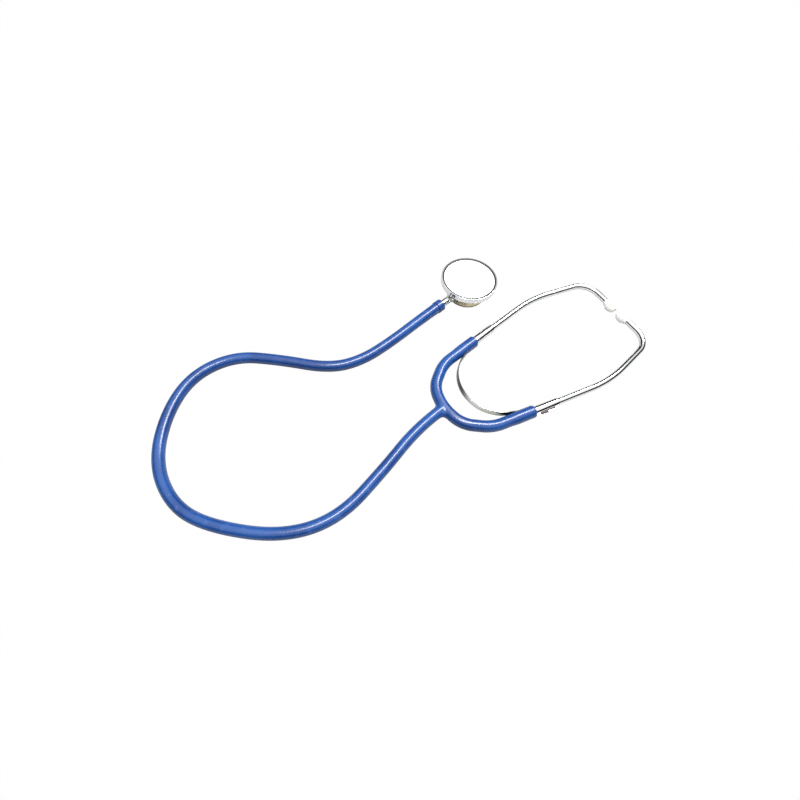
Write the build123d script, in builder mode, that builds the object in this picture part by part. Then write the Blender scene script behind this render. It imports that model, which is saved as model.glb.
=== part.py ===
"""Stethoscope with a two-sided chestpiece, lying on a table as it is put down.

Sizes are millimetres. +X runs from the hose fork to the ear tips, +Z is up, and
z = 0 is the table. The headset lies flat, and the chestpiece stands on its bell.
"""
import os
from math import atan2, cos, pi, radians, sin, tan

from build123d import *

# Fits, and the small bevel on the edges of turned pieces
RUNNING_GAP = 0.05
SEAT_GAP = 0.02
EDGE = 0.3

# Hose
HOSE_RADIUS = 4.4
HOSE_BORE = 2.1
HOSE_LIE = 4.5

# Headset: its place, the height of its flat plane, and its left half seen from the crown
HEADSET_X = -95.5
HEADSET_Y = -30.8
HEADSET_Z = 5.2
CROWN = (3.2, 0.0)
SHOULDER = (7.2, 18.3)
SLEEVE_BEND = (26.0, 32.6)
TUBE_BEND = (134.5, 49.3)
TIP_BEND = (193.2, 38.2)
TUBE_END_Y = 14.0
SLEEVE_REACH = 36.5
CROWN_ARC = 40.0
SHOULDER_ARC = 24.0
SLEEVE_ARC = 34.0
TUBE_ARC = 110.0
TIP_ARC = 18.0
STUB_LENGTH = 10.0
STUB_LEAN = 9.0
ARM_RADIUS = 4.6
CROTCH_FILLET = 2.5

# Sleeves of the fork, pushed over the ear tubes
SLEEVE_RADIUS = 5.0
SLEEVE_RAMP = 9.0
SLEEVE_GRIP = 19.0

# Ear tubes, their nipples and tips
TUBE_RADIUS = 2.6
TUBE_BORE = 2.1
NIPPLE_RADIUS = 1.9
NIPPLE_BORE = 1.0
NIPPLE_GRIP = 4.0
NIPPLE_REACH = 7.0
NIPPLE_FLANGE = 0.6
TIP_RADIUS = HEADSET_Z - 0.05
TIP_LENGTH = 11.6
TIP_BORE = 1.2
TIP_MOUTH = 0.5

# Leaf spring and the clips that its ends are rolled into
STRIP_THICKNESS = 0.8
STRIP_HEIGHT = 6.0
SPRING_SLOPE = (28.06, 13.18)
SPRING_ARC = 31.5
TONGUE_ARC = 40.0
TONGUE_LENGTH = 10.2
CLIP_LENGTH = 21.0
CLIP_FIN = 4.9
CLIP_CORNER = 1.2
CLIP_SHOULDER = 2.2
CLIP_SLOT = (10.5, 1.9, 0.7)
CLIP_GAP = 0.3

# Chestpiece: its place, and the way that its stem points
HEAD_AHEAD = 90.8
HEAD_ASIDE = 87.5
HEAD_X = HEADSET_X + HEAD_AHEAD
HEAD_Y = HEADSET_Y + HEAD_ASIDE
STEM_TURN = 190.2
STEM_Z = 9.2
BELL_RIM = 17.0
BELL_LIP = 2.2
BELL_EDGE = 1.6
BELL_FLARE = 1.25
LIP_ROUND = 0.6
BELL_DEPTH = 5.4
WAIST_RADIUS = 7.6
WAIST_FOOT = STEM_Z - 1.5
WAIST_HEAD = STEM_Z + 1.2
CUP_RADIUS = 23.3
CUP_WALL = 3.8
CUP_BASE = STEM_Z + 4.6
CUP_TOP = CUP_BASE + CUP_WALL
CUP_LAND = 1.7
CUP_STEP = 0.9
CUP_DISH = 2.2
PORT_RADIUS = 1.4
DIAPHRAGM = 0.5
RING_WALL = 1.1
RING_RADIUS = CUP_RADIUS + RING_WALL
RING_LIP = CUP_RADIUS - 0.6
RING_TOP = 0.5
RING_ROUND = 0.6

# Stem and its spindle, measured outwards from the chestpiece's axis
SPINDLE_RADIUS = 2.65
SPINDLE_TAIL = 8.0
BOSS_RADIUS = 4.6
BOSS_REACH = CUP_RADIUS - 4.8
BOSS_TAIL = 11.0
WASHER = 1.8
WASHER_RADIUS = 3.6
COLLAR = 2.2
COLLAR_RADIUS = 3.7
STEM_RADIUS = 3.0
HOSE_END = BOSS_REACH + 15.5
BARBS = 3
BARB_LENGTH = 11.0
BARB_RADIUS = 2.6
BARB_STEP = 0.5
SOUND_BORE = 1.3
SNAP_AT = BOSS_REACH - 5.5
SNAP_WIDTH = 0.8
SNAP_INNER = 2.0
SNAP_OUTER = 3.3
SNAP_OPENING = 1.2
SEAL_AT = SNAP_AT - 4.5
SEAL_WIRE = 0.43
SEAL_FLOOR = 1.8
DETENT_AT = -5.0
DETENTS = 4
DETENT_DEPTH = 0.2
BALL_RADIUS = 1.0
BALL_RISE = 0.3
DETENT_SEAT = 1.6
COIL_WIRE = 0.14
COIL_TURNS = 4

HEADSET = Plane(origin=(HEADSET_X, HEADSET_Y, HEADSET_Z))
HEAD = Plane(origin=(HEAD_X, HEAD_Y, 0), x_dir=(1, 0, 0), z_dir=(0, -1, 0))
STEM_WAY = Vector(cos(radians(STEM_TURN)), sin(radians(STEM_TURN)), 0)
STEM = Plane(origin=(HEAD_X, HEAD_Y, STEM_Z), x_dir=STEM_WAY, z_dir=(0, 0, 1))

SIDES = {"left": 1, "right": -1}


def on_side(point, side):
    """A point of the headset's left half, or its mirror image."""
    return (point[0], point[1] * side)


def along_tube(distance, side, offset=0.0):
    """A point on the straight of the ear tube, or beside it towards the middle."""
    turn = atan2(TUBE_BEND[1] - SLEEVE_BEND[1], TUBE_BEND[0] - SLEEVE_BEND[0])
    x = SLEEVE_BEND[0] + distance * cos(turn) + offset * sin(turn)
    y = SLEEVE_BEND[1] + distance * sin(turn) - offset * cos(turn)
    return on_side((x, y), side)


def tube_plane(distance, side):
    """Origin on the ear tube, x along it, y away from the middle line."""
    start = along_tube(distance, side)
    ahead = along_tube(distance + 1, side)
    way = Vector(ahead[0] - start[0], ahead[1] - start[1], 0)
    return Plane(origin=HEADSET.from_local_coords(start), x_dir=way, z_dir=(0, 0, side))


def stub_point(distance):
    """A point on the fork's stub, which leans a little where the hose pulls it aside."""
    lean = radians(STUB_LEAN)
    return (CROWN[0] - distance * cos(lean), CROWN[1] - distance * sin(lean))


# The hose as it lies between its two straight ends, measured from the crown
LOOP = [
    (-61, -18), (-104, -31.5), (-141, -23), (-177, 7), (-193, 33), (-192.5, 68), (-173, 101), (-146, 122),
    (-112, 122.5), (-84, 102.5), (-54, 75.5), (-28, 69), (3, 73),
]
FIRST_RUN = 19.4
LAST_RUN = 22.0


def hose_route():
    """Corners of the hose's centre line: level on the table, then up to the stem."""
    points = []
    for reach in (STUB_LENGTH, STUB_LENGTH + FIRST_RUN):
        x, y = stub_point(reach)
        points.append((x + HEADSET_X, y + HEADSET_Y, HEADSET_Z))
    for x, y in LOOP:
        points.append((x + HEADSET_X, y + HEADSET_Y, HOSE_LIE))
    for reach in (HOSE_END + LAST_RUN, HOSE_END):
        points.append((HEAD_X + reach * STEM_WAY.X, HEAD_Y + reach * STEM_WAY.Y, STEM_Z))
    return points


def corner_radii(points):
    """The largest arc that each corner's two runs allow."""
    radii = []
    for before, corner, after in zip(points, points[1:], points[2:]):
        back = Vector(*before) - Vector(*corner)
        ahead = Vector(*after) - Vector(*corner)
        half_turn = (180 - back.get_angle(ahead)) / 2
        radii.append(0.45 * min(back.length, ahead.length) / tan(radians(half_turn)))
    return radii


def section(path, *radii):
    """Round section across the start of a path, with a bore if two radii are given."""
    with BuildSketch(Plane(origin=path @ 0, z_dir=path % 0)) as across:
        Circle(radii[0])
        for bore in radii[1:]:
            Circle(bore, mode=Mode.SUBTRACT)
    return across.sketch


def fork_path():
    """Centre line of the fork's two arms, from sleeve end to sleeve end."""
    half = [along_tube(SLEEVE_REACH, 1), SLEEVE_BEND, SHOULDER]
    points = half + [CROWN] + [on_side(point, -1) for point in reversed(half)]
    with BuildLine(HEADSET) as path:
        FilletPolyline(*points, radius=[SLEEVE_ARC, SHOULDER_ARC, CROWN_ARC, SHOULDER_ARC, SLEEVE_ARC])
    return path.wires()[0]


def ear_tube_path(side):
    """Centre line of an ear tube, from inside the sleeve to its open end."""
    start = along_tube(SLEEVE_REACH - SLEEVE_GRIP, side)
    end = on_side((TIP_BEND[0], TUBE_END_Y), side)
    with BuildLine(HEADSET) as path:
        FilletPolyline(start, on_side(TUBE_BEND, side), on_side(TIP_BEND, side), end, radius=[TUBE_ARC, TIP_ARC])
    return path.wires()[0]


def strip_outline(thickness):
    """The leaf spring from above: one bent strip that runs beside both tubes."""
    offset = TUBE_RADIUS + RUNNING_GAP + STRIP_THICKNESS / 2
    tongue_end = along_tube(SLEEVE_REACH + CLIP_GAP - SEAT_GAP, 1, offset)
    tongue_root = along_tube(SLEEVE_REACH - TONGUE_LENGTH, 1, offset)
    shoulder = (tongue_root[0] - SPRING_SLOPE[0], tongue_root[1] - SPRING_SLOPE[1])
    half = [tongue_end, tongue_root, shoulder]
    points = half + [on_side(point, -1) for point in reversed(half)]
    with BuildSketch(HEADSET) as outline:
        with BuildLine():
            FilletPolyline(*points, radius=[TONGUE_ARC, SPRING_ARC, SPRING_ARC, TONGUE_ARC])
        trace(line_width=thickness)
    return outline.sketch


def make_hose():
    points = hose_route()
    radii = corner_radii(points)
    with BuildPart() as hose:
        with BuildLine() as path:
            FilletPolyline(*points, radius=radii)
        centre_line = path.wires()[0]
        sweep(section(centre_line, HOSE_RADIUS, HOSE_BORE), path=centre_line)
        # the end that is pushed over the stem's barbs
        with BuildSketch(Plane(origin=points[-1], z_dir=STEM_WAY)):
            Circle(BARB_RADIUS + RUNNING_GAP)
        extrude(amount=BARB_LENGTH + RUNNING_GAP, mode=Mode.SUBTRACT)
    print("hose corner radii", [round(radius) for radius in radii])
    print("hose length", round(centre_line.length, 1))
    ring_area = pi * (HOSE_RADIUS ** 2 - HOSE_BORE ** 2)
    print("hose volume over section times length", round(hose.part.volume / ring_area / centre_line.length, 4))
    return hose


def make_hose_fork():
    arms = fork_path()
    stub_start = HEADSET.from_local_coords(stub_point(0))
    stub_plane = Plane(origin=stub_start, z_dir=HEADSET.from_local_coords(stub_point(1)) - stub_start)
    with BuildPart() as fork:
        sweep(section(arms, ARM_RADIUS), path=arms)
        with BuildSketch(stub_plane):
            Circle(HOSE_RADIUS)
        extrude(amount=STUB_LENGTH)
        fillet(fork.edges().filter_by(GeomType.BSPLINE), CROTCH_FILLET)
        for side in SIDES.values():
            with BuildSketch(tube_plane(SLEEVE_REACH, side)) as sleeve:
                with BuildLine():
                    sleeve_profile()
                make_face()
            revolve(sleeve.sketch, axis=Axis(tube_plane(SLEEVE_REACH, side).origin, tube_plane(SLEEVE_REACH, side).x_dir))
        # the sound channel, and the sockets for the ear tubes
        sweep(section(arms, HOSE_BORE), path=arms, mode=Mode.SUBTRACT)
        with BuildSketch(stub_plane):
            Circle(HOSE_BORE)
        extrude(amount=STUB_LENGTH, mode=Mode.SUBTRACT)
        for side in SIDES.values():
            socket = tube_plane(SLEEVE_REACH - SLEEVE_GRIP - RUNNING_GAP, side)
            with BuildSketch(Plane(origin=socket.origin, z_dir=socket.x_dir)):
                Circle(TUBE_RADIUS + RUNNING_GAP)
            extrude(amount=SLEEVE_GRIP + 2 * RUNNING_GAP, mode=Mode.SUBTRACT)
        # slits where the leaf spring's ends run under the sleeves
        extrude(strip_outline(STRIP_THICKNESS + 2 * RUNNING_GAP), amount=STRIP_HEIGHT / 2 + RUNNING_GAP,
                both=True, mode=Mode.SUBTRACT)
    return fork


def sleeve_profile():
    """Half section of a sleeve: a long ramp up from the arm's size, and a rounded end."""
    ramp_start = -SLEEVE_GRIP - SLEEVE_RAMP / 2
    ramp_end = ramp_start + SLEEVE_RAMP
    rounding = (SLEEVE_RADIUS - TUBE_RADIUS) / 2
    Spline((ramp_start, ARM_RADIUS), (ramp_end, SLEEVE_RADIUS), tangents=[(1, 0), (1, 0)])
    Line((ramp_end, SLEEVE_RADIUS), (-rounding, SLEEVE_RADIUS))
    RadiusArc((-rounding, SLEEVE_RADIUS), (0, SLEEVE_RADIUS - rounding), rounding)
    Polyline((0, SLEEVE_RADIUS - rounding), (0, 0), (ramp_start, 0), (ramp_start, ARM_RADIUS))


def make_ear_tube(side):
    path = ear_tube_path(side)
    with BuildPart() as tube:
        sweep(section(path, TUBE_RADIUS, TUBE_BORE), path=path)
    return tube


def tip_plane(side):
    """Origin at the ear tube's open end, x along the tube towards the other tip."""
    origin = HEADSET.from_local_coords(on_side((TIP_BEND[0], TUBE_END_Y), side))
    return Plane(origin=origin, x_dir=(0, -side, 0), z_dir=(0, 0, 1))


def turned(plane, *profile):
    """A solid of revolution about the plane's x axis from a closed half profile."""
    with BuildPart() as solid:
        with BuildSketch(plane):
            with BuildLine():
                Polyline(*profile, close=True)
            make_face()
        revolve(axis=Axis(plane.origin, plane.x_dir))
    return solid


def make_ear_nipple(side):
    return turned(
        tip_plane(side),
        (-NIPPLE_GRIP, NIPPLE_BORE),
        (-NIPPLE_GRIP, TUBE_BORE - SEAT_GAP),
        (0, TUBE_BORE - SEAT_GAP),
        (0, TUBE_RADIUS),
        (NIPPLE_FLANGE, TUBE_RADIUS),
        (NIPPLE_FLANGE, NIPPLE_RADIUS),
        (NIPPLE_REACH, NIPPLE_RADIUS),
        (NIPPLE_REACH, NIPPLE_BORE),
    )


def make_ear_tip(side):
    plane = tip_plane(side)
    back = NIPPLE_FLANGE + 2 * RUNNING_GAP
    front = back + TIP_LENGTH
    socket = NIPPLE_REACH + RUNNING_GAP
    with BuildPart() as tip:
        with BuildSketch(plane):
            with BuildLine():
                Polyline((back, NIPPLE_RADIUS + RUNNING_GAP), (back, 0.62 * TIP_RADIUS))
                Spline(
                    (back, 0.62 * TIP_RADIUS),
                    (back + 0.22 * TIP_LENGTH, 0.8 * TIP_RADIUS),
                    (back + 0.5 * TIP_LENGTH, TIP_RADIUS),
                    (back + 0.86 * TIP_LENGTH, 0.72 * TIP_RADIUS),
                    (front, TIP_BORE + TIP_MOUTH),
                    tangents=[(1, 0.1), (0, -1)],
                )
                Polyline(
                    (front, TIP_BORE + TIP_MOUTH),
                    (front - TIP_MOUTH, TIP_BORE),
                    (socket, TIP_BORE),
                    (socket, NIPPLE_RADIUS + RUNNING_GAP),
                    (back, NIPPLE_RADIUS + RUNNING_GAP),
                )
            make_face()
        revolve(axis=Axis(plane.origin, plane.x_dir))
    return tip


def make_leaf_spring():
    with BuildPart() as spring:
        extrude(strip_outline(STRIP_THICKNESS), amount=STRIP_HEIGHT / 2, both=True)
        ends = spring.edges().filter_by(Axis.Z).sort_by(Axis.X)[-4:]
        fillet(ends, STRIP_THICKNESS * 0.2)
    return spring


def make_spring_clip(side):
    """Sheet rolled round the ear tube, its two edges pinched into a fin on the outer side."""
    start = SLEEVE_REACH + CLIP_GAP
    plane = tube_plane(start, side)
    inner = TUBE_RADIUS + SEAT_GAP
    outer = TUBE_RADIUS + RUNNING_GAP + STRIP_THICKNESS
    with BuildPart() as clip:
        with BuildSketch(Plane(origin=plane.origin, z_dir=plane.x_dir)):
            Circle(outer)
        extrude(amount=CLIP_LENGTH)
        with BuildSketch(plane):
            with BuildLine():
                Polyline(
                    (0, 0),
                    (CLIP_LENGTH, 0),
                    (CLIP_LENGTH, outer - EDGE),
                    (CLIP_LENGTH - CLIP_SHOULDER, CLIP_FIN),
                    (CLIP_CORNER, CLIP_FIN),
                    (0, CLIP_FIN - CLIP_CORNER),
                    close=True,
                )
            make_face()
        extrude(amount=STRIP_THICKNESS, both=True)
        with BuildSketch(Plane(origin=plane.origin, z_dir=plane.x_dir)):
            Circle(inner)
        extrude(amount=CLIP_LENGTH, mode=Mode.SUBTRACT)
        # the two edges stand apart near the sleeve
        slot_length, slot_height, slot_width = CLIP_SLOT
        with BuildSketch(plane):
            with Locations((0.36 * CLIP_LENGTH, CLIP_FIN - slot_height / 2)):
                SlotOverall(slot_length, slot_height)
        extrude(amount=slot_width / 2, both=True, mode=Mode.SUBTRACT)
    return clip


def bell_and_cup_profile():
    """Half section of the chestpiece: bell below, waist, and the diaphragm's cup above."""
    lip_inner = BELL_RIM - BELL_LIP
    rim_edge = (BELL_RIM, BELL_EDGE)
    waist_foot = (WAIST_RADIUS, WAIST_FOOT)
    flare_chord = (Vector(*rim_edge) - Vector(*waist_foot)).length
    cup_shade = WAIST_RADIUS + 0.62 * (CUP_RADIUS - WAIST_RADIUS)
    cup_floor = CUP_TOP - CUP_DISH
    land_edge = CUP_RADIUS - CUP_LAND
    step_foot = (land_edge - CUP_STEP / 2, CUP_TOP - CUP_STEP)
    ThreePointArc((0, BELL_DEPTH), (0.6 * lip_inner, 0.72 * BELL_DEPTH), (lip_inner, LIP_ROUND))
    RadiusArc((lip_inner, LIP_ROUND), (lip_inner + LIP_ROUND, 0), LIP_ROUND)
    Line((lip_inner + LIP_ROUND, 0), (BELL_RIM - LIP_ROUND, 0))
    RadiusArc((BELL_RIM - LIP_ROUND, 0), (BELL_RIM, LIP_ROUND), LIP_ROUND)
    Line((BELL_RIM, LIP_ROUND), rim_edge)
    RadiusArc(rim_edge, waist_foot, BELL_FLARE * flare_chord)
    Line(waist_foot, (WAIST_RADIUS, WAIST_HEAD))
    Spline(
        (WAIST_RADIUS, WAIST_HEAD),
        (cup_shade, CUP_BASE - 0.5),
        (CUP_RADIUS, CUP_BASE),
        tangents=[(0.6, 1), (1, 0.12)],
    )
    Polyline((CUP_RADIUS, CUP_BASE), (CUP_RADIUS, CUP_TOP), (land_edge, CUP_TOP), step_foot)
    ThreePointArc(step_foot, (0.5 * CUP_RADIUS, cup_floor + 0.16 * CUP_DISH), (0, cup_floor))
    Line((0, cup_floor), (0, BELL_DEPTH))


def make_head_body():
    with BuildPart() as head:
        with BuildSketch(HEAD):
            with BuildLine():
                bell_and_cup_profile()
            make_face()
        revolve(axis=Axis((HEAD_X, HEAD_Y, 0), (0, 0, 1)))
        # the boss that the stem turns in
        with BuildSketch(STEM) as boss:
            with BuildLine():
                Polyline((BOSS_REACH, 0), (BOSS_REACH, BOSS_RADIUS - EDGE), (BOSS_REACH - EDGE, BOSS_RADIUS))
                Line((BOSS_REACH - EDGE, BOSS_RADIUS), (BOSS_RADIUS - BOSS_TAIL, BOSS_RADIUS))
                RadiusArc((BOSS_RADIUS - BOSS_TAIL, BOSS_RADIUS), (-BOSS_TAIL, 0), -BOSS_RADIUS)
                Line((-BOSS_TAIL, 0), (BOSS_REACH, 0))
            make_face()
        revolve(boss.sketch, axis=Axis(STEM.origin, STEM.x_dir))
        # the bore and its snap-ring groove
        bore_end = -SPINDLE_TAIL - 4 * RUNNING_GAP
        bored = turned(
            STEM,
            (bore_end, 0),
            (bore_end, SPINDLE_RADIUS + RUNNING_GAP),
            (SNAP_AT - RUNNING_GAP, SPINDLE_RADIUS + RUNNING_GAP),
            (SNAP_AT - RUNNING_GAP, SNAP_OUTER + RUNNING_GAP),
            (SNAP_AT + SNAP_WIDTH + RUNNING_GAP, SNAP_OUTER + RUNNING_GAP),
            (SNAP_AT + SNAP_WIDTH + RUNNING_GAP, SPINDLE_RADIUS + RUNNING_GAP),
            (BOSS_REACH, SPINDLE_RADIUS + RUNNING_GAP),
            (BOSS_REACH, 0),
        )
        add(bored.part, mode=Mode.SUBTRACT)
        # the detent ball's track, and the stops along it
        ball_room = BALL_RADIUS + 2 * RUNNING_GAP
        track_radius = SPINDLE_RADIUS + BALL_RISE - BALL_RADIUS
        with Locations(Plane(origin=STEM.from_local_coords(Vector(DETENT_AT, 0, 0)), z_dir=STEM_WAY)):
            Torus(track_radius, ball_room, mode=Mode.SUBTRACT)
        for stop in range(DETENTS):
            turn = radians(360 * stop / DETENTS)
            out = track_radius + DETENT_DEPTH
            with Locations(STEM.from_local_coords(Vector(DETENT_AT, out * sin(turn), out * cos(turn)))):
                Sphere(ball_room, mode=Mode.SUBTRACT)
        # sound holes to the cup above and the bell below
        with BuildSketch(Plane.XY.offset(BELL_DEPTH - 1)):
            with Locations((HEAD_X, HEAD_Y)):
                Circle(PORT_RADIUS)
        extrude(amount=CUP_TOP - BELL_DEPTH + 1, mode=Mode.SUBTRACT)
    return head


def make_diaphragm():
    with BuildPart() as diaphragm:
        with BuildSketch(Plane.XY.offset(CUP_TOP)):
            with Locations((HEAD_X, HEAD_Y)):
                Circle(CUP_RADIUS - RUNNING_GAP)
        extrude(amount=DIAPHRAGM)
    return diaphragm


def make_diaphragm_ring():
    base = CUP_BASE + 4 * RUNNING_GAP
    bore = CUP_RADIUS + SEAT_GAP
    seat = CUP_TOP + DIAPHRAGM
    top = seat + RING_TOP
    with BuildPart() as ring:
        with BuildSketch(HEAD):
            with BuildLine():
                Polyline(
                    (bore, base),
                    (RING_RADIUS - EDGE, base),
                    (RING_RADIUS, base + EDGE),
                    (RING_RADIUS, top - RING_ROUND),
                )
                RadiusArc((RING_RADIUS, top - RING_ROUND), (RING_RADIUS - RING_ROUND, top), -RING_ROUND)
                Polyline(
                    (RING_RADIUS - RING_ROUND, top),
                    (RING_LIP + EDGE, top),
                    (RING_LIP, seat),
                    (bore, seat),
                    (bore, base),
                )
            make_face()
        revolve(axis=Axis((HEAD_X, HEAD_Y, 0), (0, 0, 1)))
    return ring


def make_chest_stem():
    shoulder = BOSS_REACH + RUNNING_GAP + WASHER
    barb = BARB_LENGTH / BARBS
    profile = [
        (-SPINDLE_TAIL, 0),
        (-SPINDLE_TAIL, SPINDLE_RADIUS - EDGE),
        (-SPINDLE_TAIL + EDGE, SPINDLE_RADIUS),
        (SEAL_AT - SEAL_WIRE - RUNNING_GAP, SPINDLE_RADIUS),
        (SEAL_AT - SEAL_WIRE - RUNNING_GAP, SEAL_FLOOR),
        (SEAL_AT + SEAL_WIRE + RUNNING_GAP, SEAL_FLOOR),
        (SEAL_AT + SEAL_WIRE + RUNNING_GAP, SPINDLE_RADIUS),
        (SNAP_AT - RUNNING_GAP, SPINDLE_RADIUS),
        (SNAP_AT - RUNNING_GAP, SNAP_INNER - RUNNING_GAP),
        (SNAP_AT + SNAP_WIDTH + RUNNING_GAP, SNAP_INNER - RUNNING_GAP),
        (SNAP_AT + SNAP_WIDTH + RUNNING_GAP, SPINDLE_RADIUS),
        (shoulder, SPINDLE_RADIUS),
        (shoulder, COLLAR_RADIUS - EDGE),
        (shoulder + EDGE, COLLAR_RADIUS),
        (shoulder + COLLAR - EDGE, COLLAR_RADIUS),
        (shoulder + COLLAR, COLLAR_RADIUS - EDGE),
        (shoulder + COLLAR, STEM_RADIUS),
        (HOSE_END, STEM_RADIUS),
    ]
    for number in range(BARBS):
        profile.append((HOSE_END + number * barb, BARB_RADIUS))
        profile.append((HOSE_END + (number + 1) * barb, BARB_RADIUS - BARB_STEP))
    profile.append((HOSE_END + BARB_LENGTH, 0))
    port_plane = Plane(origin=STEM.origin, z_dir=(0, 0, 1))
    with BuildPart() as stem:
        add(turned(STEM, *profile).part)
        # sound bore, its side port below the diaphragm, and the detent's pocket
        with BuildSketch(Plane(origin=STEM.from_local_coords(Vector(-SOUND_BORE, 0, 0)), z_dir=STEM_WAY)):
            Circle(SOUND_BORE)
        extrude(amount=HOSE_END + BARB_LENGTH + SOUND_BORE, mode=Mode.SUBTRACT)
        with BuildSketch(port_plane):
            Circle(SOUND_BORE)
        extrude(amount=SPINDLE_RADIUS, mode=Mode.SUBTRACT)
        with BuildSketch(Plane(origin=STEM.from_local_coords(Vector(DETENT_AT, 0, -DETENT_SEAT)), z_dir=(0, 0, 1))):
            Circle(BALL_RADIUS + RUNNING_GAP)
        extrude(amount=DETENT_SEAT + SPINDLE_RADIUS, mode=Mode.SUBTRACT)
    return stem


def make_stem_washer():
    bore = SPINDLE_RADIUS + SEAT_GAP
    start = BOSS_REACH + RUNNING_GAP
    return turned(
        STEM,
        (start, bore),
        (start, WASHER_RADIUS - EDGE),
        (start + EDGE, WASHER_RADIUS),
        (start + WASHER - EDGE, WASHER_RADIUS),
        (start + WASHER, WASHER_RADIUS - EDGE),
        (start + WASHER, bore),
    )


def make_spindle_seal():
    """Round-section seal in the spindle's groove, against the wall of the bore."""
    ring_plane = Plane(origin=STEM.from_local_coords(Vector(SEAL_AT, 0, 0)), z_dir=STEM_WAY)
    with BuildPart(ring_plane) as seal:
        Torus(SEAL_FLOOR + SEAT_GAP + SEAL_WIRE, SEAL_WIRE)
    return seal


def make_snap_ring():
    """Open spring ring, half in the spindle's groove and half in the boss's."""
    with BuildPart() as ring:
        with BuildSketch(Plane(origin=STEM.from_local_coords(Vector(SNAP_AT, 0, 0)), z_dir=STEM_WAY)):
            Circle(SNAP_OUTER)
            Circle(SNAP_INNER, mode=Mode.SUBTRACT)
            with Locations((SNAP_OUTER, 0)):
                Rectangle(2 * SNAP_INNER, SNAP_OPENING, mode=Mode.SUBTRACT)
        extrude(amount=SNAP_WIDTH)
    return ring


def make_detent_ball():
    centre = STEM.from_local_coords(Vector(DETENT_AT, 0, SPINDLE_RADIUS + BALL_RISE - BALL_RADIUS))
    with BuildPart(Plane(origin=centre)) as ball:
        Sphere(BALL_RADIUS)
    return ball


def make_detent_spring():
    ball_foot = SPINDLE_RADIUS + BALL_RISE - 2 * BALL_RADIUS
    height = ball_foot + DETENT_SEAT - 2 * COIL_WIRE
    coil_radius = 0.7 * BALL_RADIUS
    base = STEM.from_local_coords(Vector(DETENT_AT, 0, COIL_WIRE - DETENT_SEAT))
    with BuildPart() as spring:
        with BuildLine(Plane(origin=base)) as path:
            Helix(pitch=height / COIL_TURNS, height=height, radius=coil_radius)
        coil = path.wires()[0]
        with BuildSketch(Plane(origin=coil @ 0, z_dir=coil % 0)) as wire:
            Circle(COIL_WIRE)
        sweep(wire.sketch, path=coil)
    return spring


def main():
    os.makedirs("parts", exist_ok=True)
    made = {
        "hose": make_hose(),
        "hose_fork": make_hose_fork(),
        "leaf_spring": make_leaf_spring(),
        "head_body": make_head_body(),
        "diaphragm": make_diaphragm(),
        "diaphragm_ring": make_diaphragm_ring(),
        "chest_stem": make_chest_stem(),
        "stem_washer": make_stem_washer(),
        "spindle_seal": make_spindle_seal(),
        "snap_ring": make_snap_ring(),
        "detent_ball": make_detent_ball(),
        "detent_spring": make_detent_spring(),
    }
    for name, side in SIDES.items():
        made[f"ear_tube_{name}"] = make_ear_tube(side)
        made[f"spring_clip_{name}"] = make_spring_clip(side)
        made[f"ear_nipple_{name}"] = make_ear_nipple(side)
        made[f"ear_tip_{name}"] = make_ear_tip(side)
    for name, built in made.items():
        built.part.label = name
        export_step(built.part, f"parts/{name}.step")


main()
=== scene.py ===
"""Looks of the stethoscope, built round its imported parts.

Metres. +X runs from the hose fork to the ear tips, +Z is up, and z = 0 is the table.
The headset lies flat, and the chestpiece stands on its bell.
"""

from math import atan2, cos, pi, radians, sin

import bmesh
import bpy
import numpy as np
from mathutils import Matrix, Quaternion, Vector


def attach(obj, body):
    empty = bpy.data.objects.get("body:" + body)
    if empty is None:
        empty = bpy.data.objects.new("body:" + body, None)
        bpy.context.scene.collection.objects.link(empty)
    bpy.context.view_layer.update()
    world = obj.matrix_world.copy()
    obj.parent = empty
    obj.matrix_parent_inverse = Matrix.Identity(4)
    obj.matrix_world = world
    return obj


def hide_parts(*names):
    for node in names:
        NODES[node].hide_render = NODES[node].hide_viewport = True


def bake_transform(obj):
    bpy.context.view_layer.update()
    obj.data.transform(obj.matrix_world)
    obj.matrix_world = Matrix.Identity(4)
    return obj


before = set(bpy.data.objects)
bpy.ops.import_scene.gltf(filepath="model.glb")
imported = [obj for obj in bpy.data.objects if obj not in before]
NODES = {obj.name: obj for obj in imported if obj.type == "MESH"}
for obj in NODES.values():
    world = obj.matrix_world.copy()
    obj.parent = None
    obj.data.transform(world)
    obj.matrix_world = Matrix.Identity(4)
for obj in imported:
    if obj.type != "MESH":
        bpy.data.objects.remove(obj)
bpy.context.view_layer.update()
SCENE = bpy.context.scene

MM = 0.001

# Camera, as the photograph has it
PICTURE_WIDTH = 800
FOCAL_PIXELS = 450
SENSOR_WIDTH = 36.0
CAMERA_PLACE = (-0.2221, -0.1370, 0.3054)
CAMERA_AIM = (-0.1152, -0.0058, 0.0)
CAMERA_ROLL = 7.41

# Hose: the corners of its centre line, from the fork to the chestpiece's stem
HOSE_ROUTE = [
    (-0.10218, -0.03236, 0.0052),
    (-0.12134, -0.03540, 0.0052),
    (-0.1565, -0.0488, 0.0045),
    (-0.1995, -0.0623, 0.0045),
    (-0.2365, -0.0538, 0.0045),
    (-0.2725, -0.0238, 0.0045),
    (-0.2885, 0.0022, 0.0045),
    (-0.2880, 0.0372, 0.0045),
    (-0.2685, 0.0702, 0.0045),
    (-0.2415, 0.0912, 0.0045),
    (-0.2075, 0.0917, 0.0045),
    (-0.1795, 0.0717, 0.0045),
    (-0.1495, 0.0447, 0.0045),
    (-0.1235, 0.0382, 0.0045),
    (-0.0925, 0.0422, 0.0045),
    (-0.05982, 0.04678, 0.0092),
    (-0.03816, 0.05068, 0.0092),
]
HOSE_RADIUS = 4.4 * MM
HOSE_MOUTH = 1.08

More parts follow.
